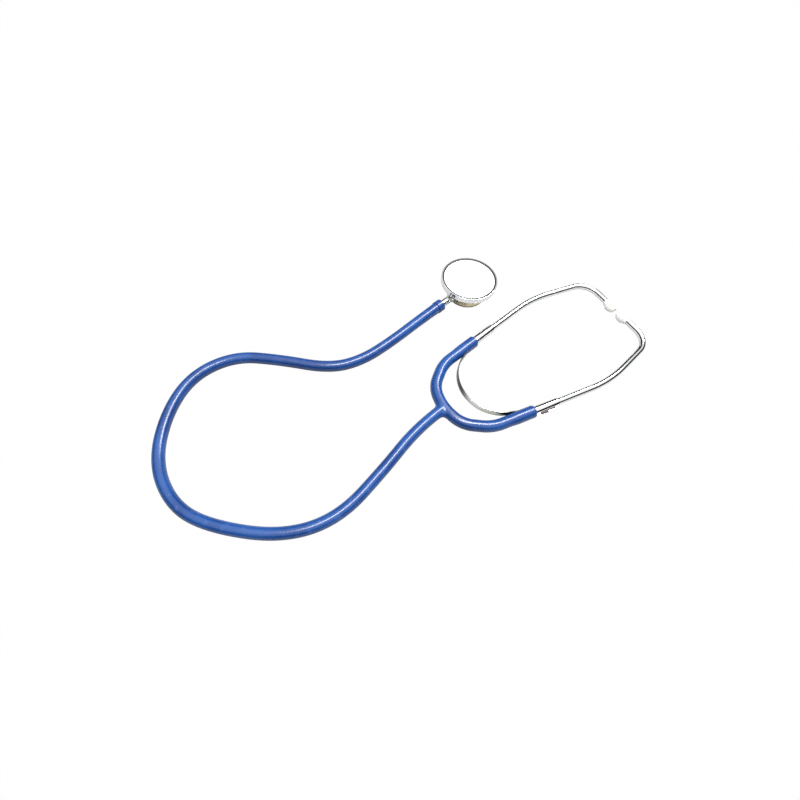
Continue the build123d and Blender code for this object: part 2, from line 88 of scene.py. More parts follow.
# Headset: its place, and the left half's corners seen from the crown
HEADSET = Vector((-95.5, -30.8, 5.2)) * MM
CROWN = (3.2, 0.0)
SHOULDER = (7.2, 18.3)
SLEEVE_BEND = (26.0, 32.6)
TUBE_BEND = (134.5, 49.3)
TIP_BEND = (193.2, 38.2)
TUBE_END_Y = 14.0
SLEEVE_REACH = 36.5
SLEEVE_GRIP = 19.0
CROWN_ARC = 40.0
SHOULDER_ARC = 24.0
SLEEVE_ARC = 34.0
TUBE_ARC = 110.0
TIP_ARC = 18.0
STUB_LENGTH = 10.0
STUB_LEAN = 9.0
ARM_RADIUS = 4.6
SLEEVE_RADIUS = 5.0
TUBE_RADIUS = 2.6
SLEEVE_ROUND = 1.6
SLEEVE_RAMP = 9.0

# Fork's middle: how far the crotch's web reaches where arms and stub meet, where the arms are cut, how
# much longer the arms and the stub are before the cuts, and the grain of the first rough skin over them
CROTCH_WEB = 9.0
CENTRE_HALF = 12.0
ARM_SPARE = 14.0
STUB_SPARE = 8.0
SKIN_GRAIN = 0.42
SKIN_PASSES = 4

# Ear tips: where they start past the tube's end, and how they swell
TIP_START = 0.7
TIP_RADIUS = 5.15
TIP_LENGTH = 11.6
TIP_DOME = 6.2
TIP_BORE = 1.95
TIP_CROWN = 1.9
TIP_MOUTH = 1.2

# Bars: points in each bent corner
CORNER_STEPS = 24

# Leaf spring and its clips
STRIP_THICKNESS = 0.8
STRIP_HEIGHT = 6.0
SPRING_SLOPE = (28.06, 13.18)
SPRING_ARC = 31.5
TONGUE_ARC = 40.0
TONGUE_LENGTH = 10.2
TONGUE_PLAY = 0.05
CLIP_GAP = 0.3
CLIP_LENGTH = 21.0
CLIP_FIN = 4.9
CLIP_FIN_HALF = 0.80
CLIP_WINDOW = (2.2, 10.4)
CLIP_CORNER = 1.2
CLIP_SHOULDER = 2.2
CLIP_SLOT = 0.7
CLIP_SHEET = 0.85

# Chestpiece: heights above the table, and radii
HEAD = Vector((-4.7, 56.7, 0.0)) * MM
BELL_RIM = 17.0
BELL_LIP = 2.2
BELL_DEPTH = 5.4
BELL_ROOF = 0.35
FLARE_FOOT = 1.6
FLARE_HEIGHT = 6.1
WAIST_RADIUS = 7.6
WAIST_TOP = 10.4
CUP_RISE = 3.1
CUP_REACH = 9.7
CUP_RADIUS = 23.3
CUP_BASE = 13.8
CUP_TOP = 17.6
CUP_LAND = 1.7
CUP_DISH = 2.2
PORT_RADIUS = 1.4
DIAPHRAGM = 0.5
RING_RADIUS = 24.4
RING_LIP = 22.7
RING_TOP = 18.6
RING_FOOT = 0.2
RING_LINE = (0.9, 1.35)
RING_LINE_DEPTH = 0.16
RING_BEVEL = 0.7
# A black bead of painted shade at the ring's lip: how far it reaches in and out, and how proud it stands
BEAD_INWARD = 0.7
BEAD_OUTWARD = 0.85
BEAD_PROUD = 0.03

# Stem, measured outwards from the chestpiece's axis
STEM_Z = 9.2
STEM_TURN = 190.2
STEM_WAY = Vector((cos(radians(STEM_TURN)), sin(radians(STEM_TURN)), 0))
STEM_AXIS = HEAD + Vector((0, 0, STEM_Z)) * MM
BOSS_RADIUS = 4.6
BOSS_REACH = 18.5
BOSS_TAIL = 11.0
BOSS_RECESS = 1.5
SPINDLE_RADIUS = 2.65
SPINDLE_SEAT = 0.05
WASHER = 1.8
WASHER_RADIUS = 3.6
COLLAR = 2.2
COLLAR_RADIUS = 3.7
STEM_RADIUS = 3.0
BARB_RADII = (2.6, 2.2)
BARB_LENGTH = 11.0
HOSE_END = 34.0
BAND_LENGTH = 5.4
BAND_THICKER = 0.4

# Play between turned pieces that fit round each other
PLAY = 0.02

SIDES = {"left": 1, "right": -1}

# Studio: the sines of the heights where the dark room gives way to its white ceiling, and their brightness
ROOM_TOP = (0.50, 0.80)
ROOM_LIGHT = (0.0, 1.4)
LAMP_PLACE = (0.19, 0.04, 0.90)
LAMP_AIM = (-0.10, 0.0, 0.0)
LAMP_WAY = (0.98, 0.20, 0.0)
LAMP_SIZE = (0.17, 1.1)
LAMP_POWER = 18
TABLE_HALF = 3.0

# Places of a Mix node's sockets, which share their names
MIX_FACTOR = 0
MIX_NUMBERS = (2, 3)
MIX_COLOURS = (6, 7)
MIX_COLOUR_OUT = 2


# Camera and light

def make_camera():
    """The photograph's view, rolled as the photographer held it."""
    data = bpy.data.cameras.new("camera")
    data.sensor_width = SENSOR_WIDTH
    data.lens = SENSOR_WIDTH * FOCAL_PIXELS / PICTURE_WIDTH
    data.clip_start = 0.01
    camera = bpy.data.objects.new("camera", data)
    SCENE.collection.objects.link(camera)
    camera.location = CAMERA_PLACE
    aim = (Vector(CAMERA_AIM) - camera.location).to_track_quat("-Z", "Y")
    camera.rotation_mode = "QUATERNION"
    camera.rotation_quaternion = aim @ Quaternion((0, 0, 1), radians(CAMERA_ROLL))
    SCENE.camera = camera


def make_strip_lamp(name, place, aim, way, size, power):
    """A long lamp: it faces its aim, and its length runs as nearly as it can along the given way."""
    data = bpy.data.lights.new(name, "AREA")
    data.shape = "RECTANGLE"
    data.size = size[0]
    data.size_y = size[1]
    data.energy = power
    light = bpy.data.objects.new(name, data)
    SCENE.collection.objects.link(light)
    light.location = place
    back = (light.location - Vector(aim)).normalized()
    beside = Vector(way).cross(back).normalized()
    light.rotation_euler = Matrix((beside, back.cross(beside), back)).transposed().to_euler()


# Nodes, and plain arithmetic on what they give

class Wire:
    """An output of a tree's nodes that plain arithmetic works on."""

    def __init__(self, maker, socket):
        self.maker = maker
        self.socket = socket

    def __add__(self, other):
        return self.maker.maths("ADD", self, other)

    def __radd__(self, other):
        return self.maker.maths("ADD", other, self)

    def __sub__(self, other):
        return self.maker.maths("SUBTRACT", self, other)

    def __rsub__(self, other):
        return self.maker.maths("SUBTRACT", other, self)

    def __mul__(self, other):
        return self.maker.maths("MULTIPLY", self, other)

    def __rmul__(self, other):
        return self.maker.maths("MULTIPLY", other, self)


class NodeMaker:
    """Fills an empty tree with nodes."""

    def __init__(self, tree):
        self.tree = tree
        self.tree.nodes.clear()

    def node(self, kind, settings=None, inputs=None, output=0):
        """A node with its settings made first, then the values or links of its sockets."""
        made = self.tree.nodes.new(kind)
        for name, value in (settings or {}).items():
            setattr(made, name, value)
        for name, value in (inputs or {}).items():
            if isinstance(value, Wire):
                self.tree.links.new(value.socket, made.inputs[name])
            else:
                made.inputs[name].default_value = value
        if made.outputs:
            return Wire(self, made.outputs[output])

    def maths(self, operation, *values):
        """One sum on numbers, which may be the outputs of other nodes."""
        return self.node("ShaderNodeMath", {"operation": operation}, dict(enumerate(values)))

    def step(self, value, low, high, start=0.0, end=1.0):
        """A smooth step: start below low, end above high."""
        inputs = {"Value": value, "From Min": low, "From Max": high, "To Min": start, "To Max": end}
        return self.node("ShaderNodeMapRange", {"interpolation_type": "SMOOTHSTEP"}, inputs)


class Finish(NodeMaker):
    """A material in the making: its nodes, and the shader that they feed."""

    def __init__(self, name):
        self.material = bpy.data.materials.new(name)
        self.material.use_nodes = True
        super().__init__(self.material.node_tree)
        self.place = self.node("ShaderNodeTexCoord", output="Object")

    def noise(self, scale, detail=2.0, roughness=0.5, place=None):
        """Noise from 0 to 1, its scale in features per metre."""
        inputs = {"Vector": place or self.place, "Scale": scale, "Detail": detail, "Roughness": roughness}
        return self.node("ShaderNodeTexNoise", None, inputs)

    def stretched(self, scale):
        """Object coordinates scaled apart along x, y and z, for streaks."""
        return self.node("ShaderNodeMapping", None, {"Vector": self.place, "Scale": scale})

    def mix(self, factor, first, second):
        """One colour fading into another."""
        inputs = {MIX_FACTOR: factor, MIX_COLOURS[0]: first, MIX_COLOURS[1]: second}
        return self.node("ShaderNodeMix", {"data_type": "RGBA"}, inputs, MIX_COLOUR_OUT)

    def bump(self, height, distance, strength=1.0, normal=None):
        """A relief, laid over the one that normal already gives."""
        inputs = {"Height": height, "Distance": distance, "Strength": strength}
        if normal:
            inputs["Normal"] = normal
        return self.node("ShaderNodeBump", None, inputs)

    def shader(self, **sockets):
        """A shader, its socket names written with underscores."""
        inputs = {name.replace("_", " "): value for name, value in sockets.items()}
        return self.node("ShaderNodeBsdfPrincipled", None, inputs)

    def cover(self, shader):
        """The finished material, once its last shader is known."""
        self.node("ShaderNodeOutputMaterial", None, {"Surface": shader})
        return self.material

    def finish(self, **sockets):
        """The finished material of a single shader."""
        return self.cover(self.shader(**sockets))


# Finishes

def colour(red, green, blue):
    """A shader colour from the three numbers that a picture gives it, 0 to 255."""
    return tuple(((value / 255 + 0.055) / 1.055) ** 2.4 for value in (red, green, blue)) + (1.0,)


def blue_pvc():
    """Dip-moulded PVC: deep and paler blue in soft clouds, an uneven gloss, a faint orange peel."""
    make = Finish("blue_pvc")
    clouds = make.noise(38, detail=3)
    grains = make.noise(900, detail=1)
    depth = make.step(clouds + (grains - 0.5) * 0.25, 0.3, 0.7)
    skin = make.mix(depth, colour(19, 52, 108), colour(29, 70, 132))
    bloom = make.step(make.noise(210, detail=4, roughness=0.6), 0.56, 0.78)
    handled = make.step(make.noise(60, detail=3), 0.35, 0.75)
    waves = make.noise(150, detail=1)
    peel = make.noise(1500, detail=2)
    relief = make.bump(peel, 0.008 * MM, 0.4, make.bump(waves, 0.12 * MM, 0.5))
    return make.finish(
        Base_Color=make.mix(bloom * 0.16, skin, colour(118, 146, 206)),
        Roughness=handled * 0.08 + bloom * 0.06 + 0.24,
        Normal=relief,
        IOR=1.46,
        Coat_Weight=0.2,
        Coat_Roughness=0.07,
    )


def bright_chrome(name="bright_chrome", tint=(226, 228, 230), dull=0.05):
    """Chrome plate: nearly white metal, hairline wipe marks, finger haze and a few fine pits."""
    make = Finish(name)
    haze = make.step(make.noise(70, detail=3), 0.45, 0.8)
    wipes = make.noise(1, detail=2, place=make.stretched((160, 2600, 900)))
    marks = make.step(wipes, 0.60, 0.72)
    pits = make.step(make.noise(2400, detail=0), 0.74, 0.80)
    warm = make.mix(haze * 0.35, colour(*tint), colour(206, 203, 194))
    return make.finish(
        Base_Color=make.mix(pits * 0.5, warm, colour(120, 116, 108)),
        Metallic=1.0,
        Roughness=haze * 0.05 + marks * 0.06 + pits * 0.2 + dull,
        Normal=make.bump(marks - pits, 0.004 * MM, 0.4),
    )


def chrome_painted_reflections():
    """Leaf spring: chrome with painted dark reflection towards both sleeves, faintly green where it fades.
    """
    make = Finish("chrome_painted_reflections")
    wisps = make.noise(300, detail=3)
    across = make.node("ShaderNodeSeparateXYZ", None, {"Vector": make.place}, output="Y")
    place = across - HEADSET.y + (wisps - 0.5) * 4 * MM
    # Painted dark reflection: the strip darkens towards both sleeves, its edges made wavy by the wisps
    left = make.step(place, -9 * MM, 7 * MM)
    right = make.step(place, -31 * MM, -23 * MM, 1.0, 0.0)
    painted_dark_reflection = make.maths("MAXIMUM", left, right)
    green = make.step(place, -26 * MM, -10 * MM, 1.0, 0.0)
    metal = make.mix(green * 0.7, colour(232, 232, 230), colour(198, 204, 182))
    wipes = make.step(make.noise(1, detail=2, place=make.stretched((300, 300, 3000))), 0.55, 0.75)
    return make.finish(
        Base_Color=make.mix(painted_dark_reflection * 0.97, metal, colour(22, 21, 20)),
        Metallic=1.0,
        Roughness=wipes * 0.08 + painted_dark_reflection * 0.06 + 0.10,
        Normal=make.bump(wipes, 0.004 * MM, 0.4),
    )


def white_film():
    """Diaphragm: satin white sheet with a faint weave under its surface."""
    make = Finish("white_film")
    warp = make.noise(1, detail=0, place=make.stretched((3200, 500, 1)))
    weft = make.noise(1, detail=0, place=make.stretched((500, 3200, 1)))
    weave = make.maths("MAXIMUM", warp, weft)
    clouds = make.noise(90, detail=3)
    wiped = make.step(make.noise(160, detail=4), 0.5, 0.75)
    sheet = make.mix(make.step(clouds, 0.3, 0.7), colour(238, 239, 238), colour(248, 248, 247))
    return make.finish(
        Base_Color=make.mix(make.step(weave, 0.5, 0.75) * 0.10, sheet, colour(216, 219, 220)),
        Roughness=wiped * 0.12 + 0.30,
        Normal=make.bump(weave, 0.01 * MM, 0.35),
        Specular_IOR_Level=0.4,
    )


def black_rubber():
    """Washer and seal: black rubber, greyed and a little gritty; the black bead of painted shade at the
    ring's lip uses it too.
    """
    make = Finish("black_rubber")
    grit = make.noise(1800, detail=3)
    dust = make.step(make.noise(420, detail=4, roughness=0.65), 0.5, 0.75)
    return make.finish(
        Base_Color=make.mix(dust * 0.3, colour(12, 12, 13), colour(58, 56, 54)),
        Roughness=dust * 0.15 + 0.6,
        Normal=make.bump(grit, 0.03 * MM, 0.5),
    )


def spring_steel():
    """Hard wire and balls: grey steel with drawing lines."""
    make = Finish("spring_steel")
    lines = make.noise(1, detail=2, place=make.stretched((700, 700, 5000)))
    stain = make.step(make.noise(600, detail=3), 0.5, 0.8)
    return make.finish(
        Base_Color=make.mix(stain * 0.5, colour(176, 177, 180), colour(122, 108, 92)),
        Metallic=1.0,
        Roughness=lines * 0.15 + stain * 0.15 + 0.2,
        Normal=make.bump(lines, 0.01 * MM, 0.4),
    )


def nickel_brass():
    """Nipples: nickel over brass, the brass showing through where the thread rubs."""
    make = Finish("nickel_brass")
    rubbed = make.step(make.noise(900, detail=4), 0.5, 0.7)
    grain = make.noise(2200, detail=2)
    return make.finish(
        Base_Color=make.mix(rubbed * 0.6, colour(214, 208, 192), colour(196, 164, 96)),
        Metallic=1.0,
        Roughness=grain * 0.12 + 0.18,
        Normal=make.bump(grain, 0.01 * MM, 0.3),
    )


def white_plastic():
    """Ear tips: white plastic, smooth, faintly yellowed in clouds."""
    make = Finish("white_plastic")
    clouds = make.noise(260, detail=3)
    scuffs = make.step(make.noise(700, detail=5, roughness=0.7), 0.58, 0.72)
    return make.finish(
        Base_Color=make.mix(make.step(clouds, 0.3, 0.7) * 0.5, colour(247, 247, 246), colour(240, 239, 233)),
        Roughness=scuffs * 0.15 + 0.22,
        Normal=make.bump(scuffs, 0.01 * MM, 0.3),
        Subsurface_Weight=0.1,
        Subsurface_Scale=1.5 * MM,
    )


def painted_gap_shade():
    """Painted shade inside a clip's pinched edges: dark brown, finely mottled and rough."""
    make = Finish("painted_gap_shade")
    shade_mottle = make.noise(1500, detail=5, roughness=0.7)
    return make.finish(
        Base_Color=make.mix(make.step(shade_mottle, 0.4, 0.65), colour(34, 18, 14), colour(78, 48, 38)),
        Roughness=shade_mottle * 0.3 + 0.4,
        Normal=make.bump(shade_mottle, 0.06 * MM, 0.6),
    )


def table_white():
    """The table: evenly white to the camera, and a mid grey to what it lights or is mirrored in."""
    make = Finish("table_white")
    grain = make.noise(400, detail=3)
    plain = make.shader(
        Base_Color=make.mix(grain, colour(160, 160, 160), colour(170, 170, 169)),
        Roughness=grain * 0.1 + 0.6,
        Normal=make.bump(grain, 0.02 * MM, 0.2),
    )
    white = make.shader(
        Base_Color=colour(0, 0, 0),
        Emission_Color=make.mix(grain, colour(254, 254, 254), colour(255, 255, 255)),
        Emission_Strength=1.0,
        Specular_IOR_Level=0.0,
    )
    seen = make.node("ShaderNodeLightPath", output="Is Camera Ray")
    return make.cover(make.node("ShaderNodeMixShader", None, {0: seen, 1: plain, 2: white}))


def light_the_world():
    """White behind the object; what it mirrors is a white ceiling over a dark room."""
    world = bpy.data.worlds.new("studio")
    SCENE.world = world
    world.use_nodes = True
    make = NodeMaker(world.node_tree)
    direction = make.node("ShaderNodeTexCoord", output="Generated")
    height = make.node("ShaderNodeSeparateXYZ", None, {"Vector": direction}, output="Z")
    mirrored = make.step(height, *ROOM_TOP, *ROOM_LIGHT)
    seen = make.node("ShaderNodeLightPath", output="Is Camera Ray")
    either = {MIX_FACTOR: seen, MIX_NUMBERS[0]: mirrored, MIX_NUMBERS[1]: 1.0}
    strength = make.node("ShaderNodeMix", None, either)
    white = make.node("ShaderNodeBackground", None, {"Color": (1, 1, 1, 1), "Strength": strength})
    make.node("ShaderNodeOutputWorld", None, {"Surface": white})


# Shapes

def link(name, mesh, *materials):
    """A new piece of the scene from a mesh and its finishes."""
    piece = bpy.data.objects.new(name, mesh)
    SCENE.collection.objects.link(piece)
    for material in materials:
        mesh.materials.append(material)
    return piece


def mesh_piece(name, points, faces, material, sharp=40):
    """A piece from points and faces, with smooth shading and crisp edges over the given angle."""
    mesh = bpy.data.meshes.new(name)
    mesh.from_pydata(points, [], faces)
    build = bmesh.new()
    build.from_mesh(mesh)
    bmesh.ops.remove_doubles(build, verts=build.verts, dist=1e-7)
    bmesh.ops.recalc_face_normals(build, faces=build.faces)
    build.to_mesh(mesh)
    build.free()
    mesh.shade_smooth()
    mesh.set_sharp_from_angle(angle=radians(sharp))
    return link(name, mesh, material)


def rounded_profile(corners, steps=5):
    """Outline points from (along, out, rounding) corners, each rounded by its own radius."""
    outline = []
    count = len(corners)
    for number, (along, out, rounding) in enumerate(corners):
        here = Vector((along, out))
        if rounding <= 0:
            outline.append(here)
            continue
        back = Vector(corners[number - 1][:2]) - here
        ahead = Vector(corners[(number + 1) % count][:2]) - here
        half = back.angle(ahead) / 2
        reach = min(rounding / sin(half) * cos(half), 0.49 * back.length, 0.49 * ahead.length)
        start = here + back.normalized() * reach
        end = here + ahead.normalized() * reach
        for step in range(steps + 1):
            share = step / steps
            outline.append(start * (1 - share) ** 2 + here * 2 * share * (1 - share) + end * share ** 2)
    return [(point.x, point.y) for point in outline]


def lathe(name, origin, axis, profile, material, sides=128, closed=False, sharp=40):
    """A turned piece: profile points are (along the axis, out from it), in millimetres."""
    along = Vector(axis).normalized()
    across = along.orthogonal().normalized()
    beside = along.cross(across)
    points = []
    faces = []
    for distance, radius in profile:
        for side in range(sides):
            angle = 2 * pi * side / sides
            out = across * cos(angle) + beside * sin(angle)
            points.append(Vector(origin) + (along * distance + out * radius) * MM)
    rings = len(profile)
    for ring in range(rings if closed else rings - 1):
        here = ring * sides
        following = (ring + 1) % rings * sides
        for side in range(sides):
            beyond = (side + 1) % sides
            faces.append((here + side, here + beyond, following + beyond, following + side))
    piece = mesh_piece(name, points, faces, material, sharp)
    clean_flat_faces(piece.data)
    return piece


def clean_flat_faces(mesh):
    """Removes the faces that a turned profile leaves without area at its poles."""
    build = bmesh.new()
    build.from_mesh(mesh)
    bmesh.ops.dissolve_degenerate(build, dist=1e-8, edges=build.edges)
    build.to_mesh(mesh)
    build.free()


def on_side(point, side):
    """A point of the left half, kept there or mirrored to the right."""
    return (point[0], point[1] * side)


def in_headset(point, side=1):
    """A point of the headset's flat plane in the shared frame."""
    return HEADSET + Vector((point[0], point[1] * side, 0)) * MM


def along_tube(distance, offset=0.0):
    """A point on the left tube's straight, or beside it towards the middle."""
    turn = atan2(TUBE_BEND[1] - SLEEVE_BEND[1], TUBE_BEND[0] - SLEEVE_BEND[0])
    x = SLEEVE_BEND[0] + distance * cos(turn) + offset * sin(turn)
    y = SLEEVE_BEND[1] + distance * sin(turn) - offset * cos(turn)
    return (x, y)


def stub_point(distance):
    """A point on the stub that leaves the fork's crown for the hose."""
    lean = radians(STUB_LEAN)
    return (CROWN[0] - distance * cos(lean), CROWN[1] - distance * sin(lean))


# Bars bent from straight stock, by geometry nodes

def bent_bar_tree(tubular):
    """Rounds a line's corners by their point radius, and draws a round tube or a flat strip along it."""
    tree = bpy.data.node_groups.new("bent_tube" if tubular else "bent_strip", "GeometryNodeTree")
    face = tree.interface
    face.new_socket("Line", in_out="INPUT", socket_type="NodeSocketGeometry")
    for name in ("Spacing", "Width", "Height", "Edge"):
        face.new_socket(name, in_out="INPUT", socket_type="NodeSocketFloat")
    face.new_socket("Sides", in_out="INPUT", socket_type="NodeSocketInt")
    face.new_socket("Finish", in_out="INPUT", socket_type="NodeSocketMaterial")
    face.new_socket("Bar", in_out="OUTPUT", socket_type="NodeSocketGeometry")
    make = NodeMaker(tree)

    def given(name):
        """One of the tree's named inputs."""
        return make.node("NodeGroupInput", output=name)

    rounded = make.node(
        "GeometryNodeFilletCurve", {"mode": "POLY"},
        {"Curve": given("Line"), "Count": CORNER_STEPS, "Radius": make.node("GeometryNodeInputRadius"),
         "Limit Radius": True},
    )
    evened = make.node(
        "GeometryNodeResampleCurve", {"mode": "LENGTH"},
        {"Curve": rounded, "Length": given("Spacing")},
    )
    thin = make.node("GeometryNodeSetCurveRadius", None, {"Curve": evened, "Radius": 1.0})
    if tubular:
        section = make.node(
            "GeometryNodeCurvePrimitiveCircle", None,
            {"Resolution": given("Sides"), "Radius": given("Width")},
        )
    else:
        outline = make.node(
            "GeometryNodeCurvePrimitiveQuadrilateral", None,
            {"Width": given("Height"), "Height": given("Width")},
        )
        section = make.node(
            "GeometryNodeFilletCurve", {"mode": "POLY"},
            {"Curve": outline, "Count": given("Sides"), "Radius": given("Edge")},
        )
    drawn = make.node(
        "GeometryNodeCurveToMesh", None,
        {"Curve": thin, "Profile Curve": section, "Fill Caps": True},
    )
    realised = make.node("GeometryNodeRealizeInstances", None, {"Geometry": drawn})
    finished = make.node(
        "GeometryNodeSetMaterial", None,
        {"Geometry": realised, "Material": given("Finish")},
    )
    make.node("NodeGroupOutput", None, {"Bar": finished})
    return tree


def bent_bar(name, tree, corners, radii, side, material, **sizes):
    """One bar along headset corners, made a plain mesh in the shared frame."""
    line = bpy.data.curves.new(name + "_line", "CURVE")
    line.dimensions = "3D"
    spline = line.splines.new("POLY")
    spline.points.add(len(corners) - 1)
    for point, corner, radius in zip(spline.points, corners, [0, *radii, 0]):
        point.co = (*in_headset(corner, side), 1)
        point.radius = radius * MM
    holder = bpy.data.objects.new(name + "_line", line)
    SCENE.collection.objects.link(holder)
    modifier = holder.modifiers.new("bar", "NODES")
    modifier.node_group = tree
    values = {"Finish": material}
    for size, value in sizes.items():
        values[size] = value if isinstance(value, int) else value * MM
    for item in tree.interface.items_tree:
        if item.in_out == "INPUT" and item.name in values:
            modifier[item.identifier] = values[item.name]
    evaluated = holder.evaluated_get(bpy.context.evaluated_depsgraph_get())
    mesh = bpy.data.meshes.new_from_object(evaluated)
    bpy.data.objects.remove(holder)
    build = bmesh.new()
    build.from_mesh(mesh)
    bmesh.ops.remove_doubles(build, verts=build.verts, dist=1e-7)
    bmesh.ops.recalc_face_normals(build, faces=build.faces)
    build.to_mesh(mesh)
    build.free()
    mesh.shade_smooth()
    mesh.set_sharp_from_angle(angle=radians(40))
    mesh.name = name
    return link(name, mesh)


# The chestpiece

def make_head_body(material):
    """Bell, waist and cup in one turned piece, with the sound hole through its middle."""
    lip_inner = BELL_RIM - BELL_LIP
    bell_inside = [
        (BELL_DEPTH * (1 - (out / lip_inner) ** 2.2) + BELL_ROOF, out, 0)
        for out in np.linspace(PORT_RADIUS, lip_inner - 0.4, 18)
    ]
    flare = [
        (FLARE_FOOT + FLARE_HEIGHT * share, WAIST_RADIUS + (BELL_RIM - WAIST_RADIUS) * (1 - share) ** 2.1, 0)
        for share in np.linspace(0, 1, 16)
    ]
    cup_under = [
        (WAIST_TOP + CUP_RISE * share ** 1.8, WAIST_RADIUS + CUP_REACH * share, 0)
        for share in np.linspace(0, 1, 10)
    ]
    dish = [
        (CUP_TOP - CUP_DISH + 0.9 * (out / CUP_RADIUS) ** 2, out, 0)
        for out in np.linspace(CUP_RADIUS - CUP_LAND - 1.0, PORT_RADIUS, 12)
    ]
    rim = [
        (0.0, lip_inner, 0.5),
        (0.0, BELL_RIM, 0.6),
    ]
    wall = [
        (CUP_BASE, CUP_RADIUS, 0.35),
        (CUP_TOP, CUP_RADIUS, 0.2),
        (CUP_TOP, CUP_RADIUS - CUP_LAND, 0.2),
    ]
    profile = rounded_profile(bell_inside + rim + flare + cup_under + wall + dish)
    return lathe("head_bell_and_cup", HEAD, (0, 0, 1), profile, material, closed=True)


def make_boss(material):
    """The arm that holds the stem: rounded at its back, open at its front."""
    corners = [
        (-BOSS_TAIL, 0, 0),
        (-BOSS_TAIL, BOSS_RADIUS, 3.6),
        (BOSS_REACH, BOSS_RADIUS, 0.4),
        (BOSS_REACH, SPINDLE_RADIUS + SPINDLE_SEAT, 0),
        (BOSS_REACH - BOSS_RECESS, SPINDLE_RADIUS + SPINDLE_SEAT, 0),
        (BOSS_REACH - BOSS_RECESS, 0, 0),
    ]
    return lathe("head_boss", STEM_AXIS, STEM_WAY, rounded_profile(corners, steps=8), material, sides=96)


def make_diaphragm(material):
    """The flat sheet that the ring holds on the cup."""
    corners = [
        (CUP_TOP, 0, 0),
        (CUP_TOP, CUP_RADIUS - 0.05, 0.1),
        (CUP_TOP + DIAPHRAGM, CUP_RADIUS - 0.05, 0.1),
        (CUP_TOP + DIAPHRAGM, 0, 0),
    ]
    return lathe("diaphragm_sheet", HEAD, (0, 0, 1), rounded_profile(corners), material, sides=160)


def make_ring(material):
    """The screwed ring: a rounded brow over the diaphragm's edge, and a fine line near its foot."""
    seat = CUP_TOP + DIAPHRAGM
    base = CUP_BASE + RING_FOOT
    line_low = base + RING_LINE[0]
    line_high = base + RING_LINE[1]
    corners = [
        (base, CUP_RADIUS + PLAY, 0),
        (base, RING_RADIUS, 0.3),
        (line_low, RING_RADIUS, 0.08),
        (line_low + 0.1, RING_RADIUS - RING_LINE_DEPTH, 0.06),
        (line_high - 0.1, RING_RADIUS - RING_LINE_DEPTH, 0.06),
        (line_high, RING_RADIUS, 0.08),
        (RING_TOP, RING_RADIUS, 0.75),
        (RING_TOP, RING_LIP + RING_BEVEL, 0.1),
        (seat + 0.1, RING_LIP, 0.05),
        (seat, CUP_RADIUS + PLAY, 0),
    ]
    profile = rounded_profile(corners, steps=6)
    return lathe("diaphragm_bezel", HEAD, (0, 0, 1), profile, material, sides=192, closed=True)


def make_painted_shade_bead(material):
    """Painted shade: a black bead on the bevel between the ring and the diaphragm, for the dark gap line
    there.
    """
    seat = CUP_TOP + DIAPHRAGM
    top = RING_TOP + BEAD_PROUD
    corners = [
        (seat - 0.1, RING_LIP - BEAD_INWARD, 0),
        (seat - 0.1, RING_LIP + 0.3, 0),
        (RING_TOP - 0.2, RING_LIP + BEAD_OUTWARD, 0),
        (top, RING_LIP + BEAD_OUTWARD, 0.05),
        (top, RING_LIP + 0.6, 0.1),
        (seat + 0.12, RING_LIP - BEAD_INWARD, 0.1),
    ]
    profile = rounded_profile(corners)
    return lathe("painted_shade_bead", HEAD, (0, 0, 1), profile, material, sides=192, closed=True)


def make_stem(material):
    """The stem in view: collar, neck, and the barbs inside the hose."""
    shoulder = BOSS_REACH + SPINDLE_SEAT + WASHER
    corners = [
        (BOSS_REACH - 1.4, 0, 0),
        (BOSS_REACH - 1.4, SPINDLE_RADIUS, 0),
        (shoulder, SPINDLE_RADIUS, 0),
        (shoulder, COLLAR_RADIUS, 0.35),
        (shoulder + COLLAR, COLLAR_RADIUS, 0.35),
        (shoulder + COLLAR, STEM_RADIUS, 0.3),
        (HOSE_END - 1.0, STEM_RADIUS, 0.2),
        (HOSE_END, BARB_RADII[0], 0.2),
        (HOSE_END + BARB_LENGTH, BARB_RADII[1], 0.4),
        (HOSE_END + BARB_LENGTH, 0, 0),
    ]
    return lathe("stem_neck", STEM_AXIS, STEM_WAY, rounded_profile(corners), material, sides=96)


def make_washer(material):
    """The black cushion between the boss and the stem's collar."""
    start = BOSS_REACH + SPINDLE_SEAT
    corners = [
        (start, SPINDLE_RADIUS + PLAY, 0),
        (start, WASHER_RADIUS, 0.4),
        (start + WASHER, WASHER_RADIUS, 0.4),
        (start + WASHER, SPINDLE_RADIUS + PLAY, 0),
    ]
    profile = rounded_profile(corners)
    return lathe("stem_cushion", STEM_AXIS, STEM_WAY, profile, material, sides=96, closed=True)


def make_hose_mouth(material):
    """The hose's rounded end, with the thicker band that is stretched over the stem."""
    mouth = HOSE_RADIUS / MM * HOSE_MOUTH
    band = mouth + BAND_THICKER
    corners = [
        (HOSE_END + 0.6, mouth - 1.0, 0),
        (HOSE_END - 0.5, STEM_RADIUS + 0.05, 0.3),
        (HOSE_END - 0.5, band, 0.6),
        (HOSE_END + BAND_LENGTH, band, 0.2),
        (HOSE_END + BAND_LENGTH + 0.3, mouth - 0.9, 0),
    ]
    profile = rounded_profile(corners)
    return lathe("hose_mouth", STEM_AXIS, STEM_WAY, profile, material, sides=96, closed=True)


# The ear tips and the spring's clips

